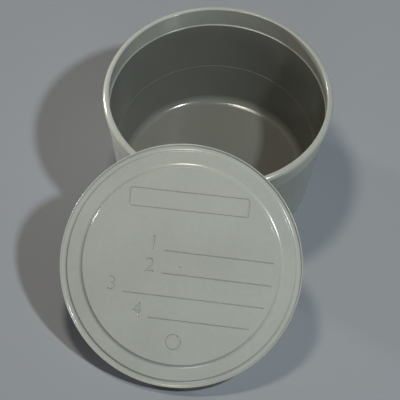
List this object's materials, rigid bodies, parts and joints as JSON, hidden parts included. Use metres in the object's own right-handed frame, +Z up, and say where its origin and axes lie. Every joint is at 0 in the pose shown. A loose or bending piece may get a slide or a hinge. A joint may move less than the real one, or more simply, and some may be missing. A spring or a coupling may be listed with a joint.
{
  "type": "specimen cup",
  "caption": "Squat round specimen tub with a tapered wall and a snap bead at the rim, and its loose snap lid leaning on the rim.",
  "frame": {"origin": "centre of the cup's foot, on the surface that it stands on", "axes": "+Z up through the mouth, -Y towards the loose lid, +X to the right as seen from the lid's side"},
  "size_m": [0.102, 0.1662, 0.0651],
  "materials": {
    "cup_plastic": "satin moulded polyethylene, grey-green, slightly waxy",
    "lid_plastic": "satin moulded polyethylene, grey-green, slightly waxy"
  },
  "bodies": {
    "cup": {"cup": "cup_plastic"},
    "lid": {"lid": "lid_plastic"}
  },
  "joints": [
    {"name": "lid_lift", "type": "slide", "parent": "cup", "child": "lid", "axis": [0, -0.5991, 0.8007], "range_m": [0, 0.07]}
  ]
}
